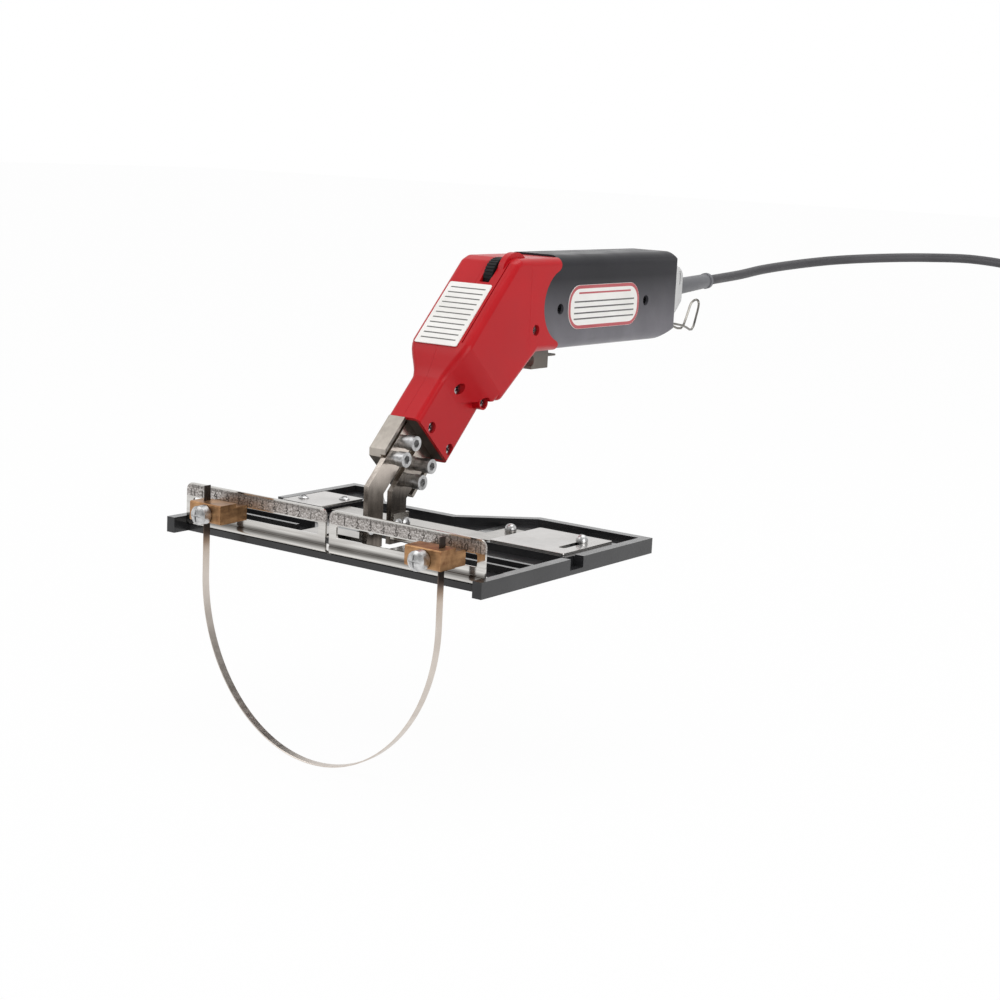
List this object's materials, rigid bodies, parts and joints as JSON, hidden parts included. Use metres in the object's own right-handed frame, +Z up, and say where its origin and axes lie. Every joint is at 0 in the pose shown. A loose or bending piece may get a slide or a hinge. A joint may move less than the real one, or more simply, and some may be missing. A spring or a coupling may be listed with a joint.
{
  "type": "electric hot knife",
  "caption": "Pistol-grip electric hot knife on a flat cutting sled: a U-shaped blade loop in sliding clamps on slotted rulers, with trigger, thumbwheel, cord and plug.",
  "frame": {"origin": "centre of the sled's flat underside", "axes": "+Z up from the foam, -Y towards the blade, +Y towards the grip and cord, +X to the tool's own left"},
  "size_m": [0.4622, 0.776, 0.3071],
  "materials": {
    "sled_plastic": "moulded, glossy black",
    "ruler_steel": "brushed",
    "screw_steel": "bright plated",
    "bus_metal": "plated, polished",
    "clamp_brass": "sawn and turned",
    "blade_steel": "heat tinted",
    "nickel": "nickel plated",
    "insulator": "pressed phenolic",
    "copper": "bare",
    "iron": "laminated",
    "red_plastic": "moulded, satin gloss",
    "grip_plastic": "moulded, fine texture",
    "cap_plastic": "moulded",
    "dark_screw": "blackened",
    "label": "printed film, left bare",
    "wheel_plastic": "ridged",
    "board": "bare board",
    "wire": "drawn wire",
    "relief_rubber": "moulded",
    "cord_rubber": "smooth sheath",
    "lead": "insulated lead",
    "pin_brass": "nickelled"
  },
  "bodies": {
    "tool": {"sled": "sled_plastic", "ruler_left": "ruler_steel", "ruler_right": "ruler_steel", "ruler_screws": "screw_steel", "guide_plate_left": "ruler_steel", "guide_plate_right": "ruler_steel", "guide_screws": "screw_steel", "bus_front": "bus_metal", "bus_rear": "bus_metal", "arm_front": "nickel", "arm_rear": "nickel", "arm_screws": "screw_steel", "terminal_front": "nickel", "terminal_rear": "nickel", "terminal_screws": "screw_steel", "terminal_insulator": "insulator", "strap_front": "copper", "strap_rear": "copper", "transformer_core": "iron", "transformer_winding": "copper", "nose_left": "red_plastic", "nose_right": "red_plastic", "grip_left": "grip_plastic", "grip_right": "grip_plastic", "rear_cap": "cap_plastic", "nose_screws": "dark_screw", "grip_screws": "dark_screw", "front_label": "label", "rating_plate": "label", "regulator_board": "board", "trigger_spring": "wire", "switch_block": "insulator", "cord_clamp": "insulator", "inner_leads": "lead", "strain_relief": "relief_rubber", "cord": "cord_rubber", "cord_coil": "cord_rubber", "coil_tie": "cord_rubber", "plug": "cord_rubber", "plug_pins": "pin_brass"},
    "loop": {"clamp_left": "clamp_brass", "clamp_screw_left": "screw_steel", "clamp_nut_left": "clamp_brass", "blade": "blade_steel"},
    "right_clamp": {"clamp_right": "clamp_brass", "clamp_screw_right": "screw_steel", "clamp_nut_right": "clamp_brass"},
    "trigger": {"trigger": "grip_plastic"},
    "thumbwheel": {"thumbwheel": "wheel_plastic"},
    "hook": {"hook": "wire"}
  },
  "joints": [
    {"name": "loop_shift", "type": "slide", "parent": "tool", "child": "loop", "axis": [1, 0, 0], "range_m": [-0.028, 0.015]},
    {"name": "loop_width", "type": "slide", "parent": "loop", "child": "right_clamp", "axis": [1, 0, 0], "range_m": [-0.05, 0], "deforming": ["blade"]},
    {"name": "trigger_press", "type": "slide", "parent": "tool", "child": "trigger", "axis": [0, 0, 1], "range_m": [0, 0.005], "stiffness_N_per_m": 500, "springref_m": -0.003, "deforming": ["trigger_spring"]},
    {"name": "heat_wheel", "type": "hinge", "parent": "tool", "child": "thumbwheel", "pos_m": [0, 0.076, 0.1665], "axis": [1, 0, 0], "range_deg": [-140, 140]},
    {"name": "hook_swing", "type": "hinge", "parent": "tool", "child": "hook", "pos_m": [0, 0.2877, 0.1285], "axis": [1, 0, 0], "range_deg": [-80, 0]}
  ]
}
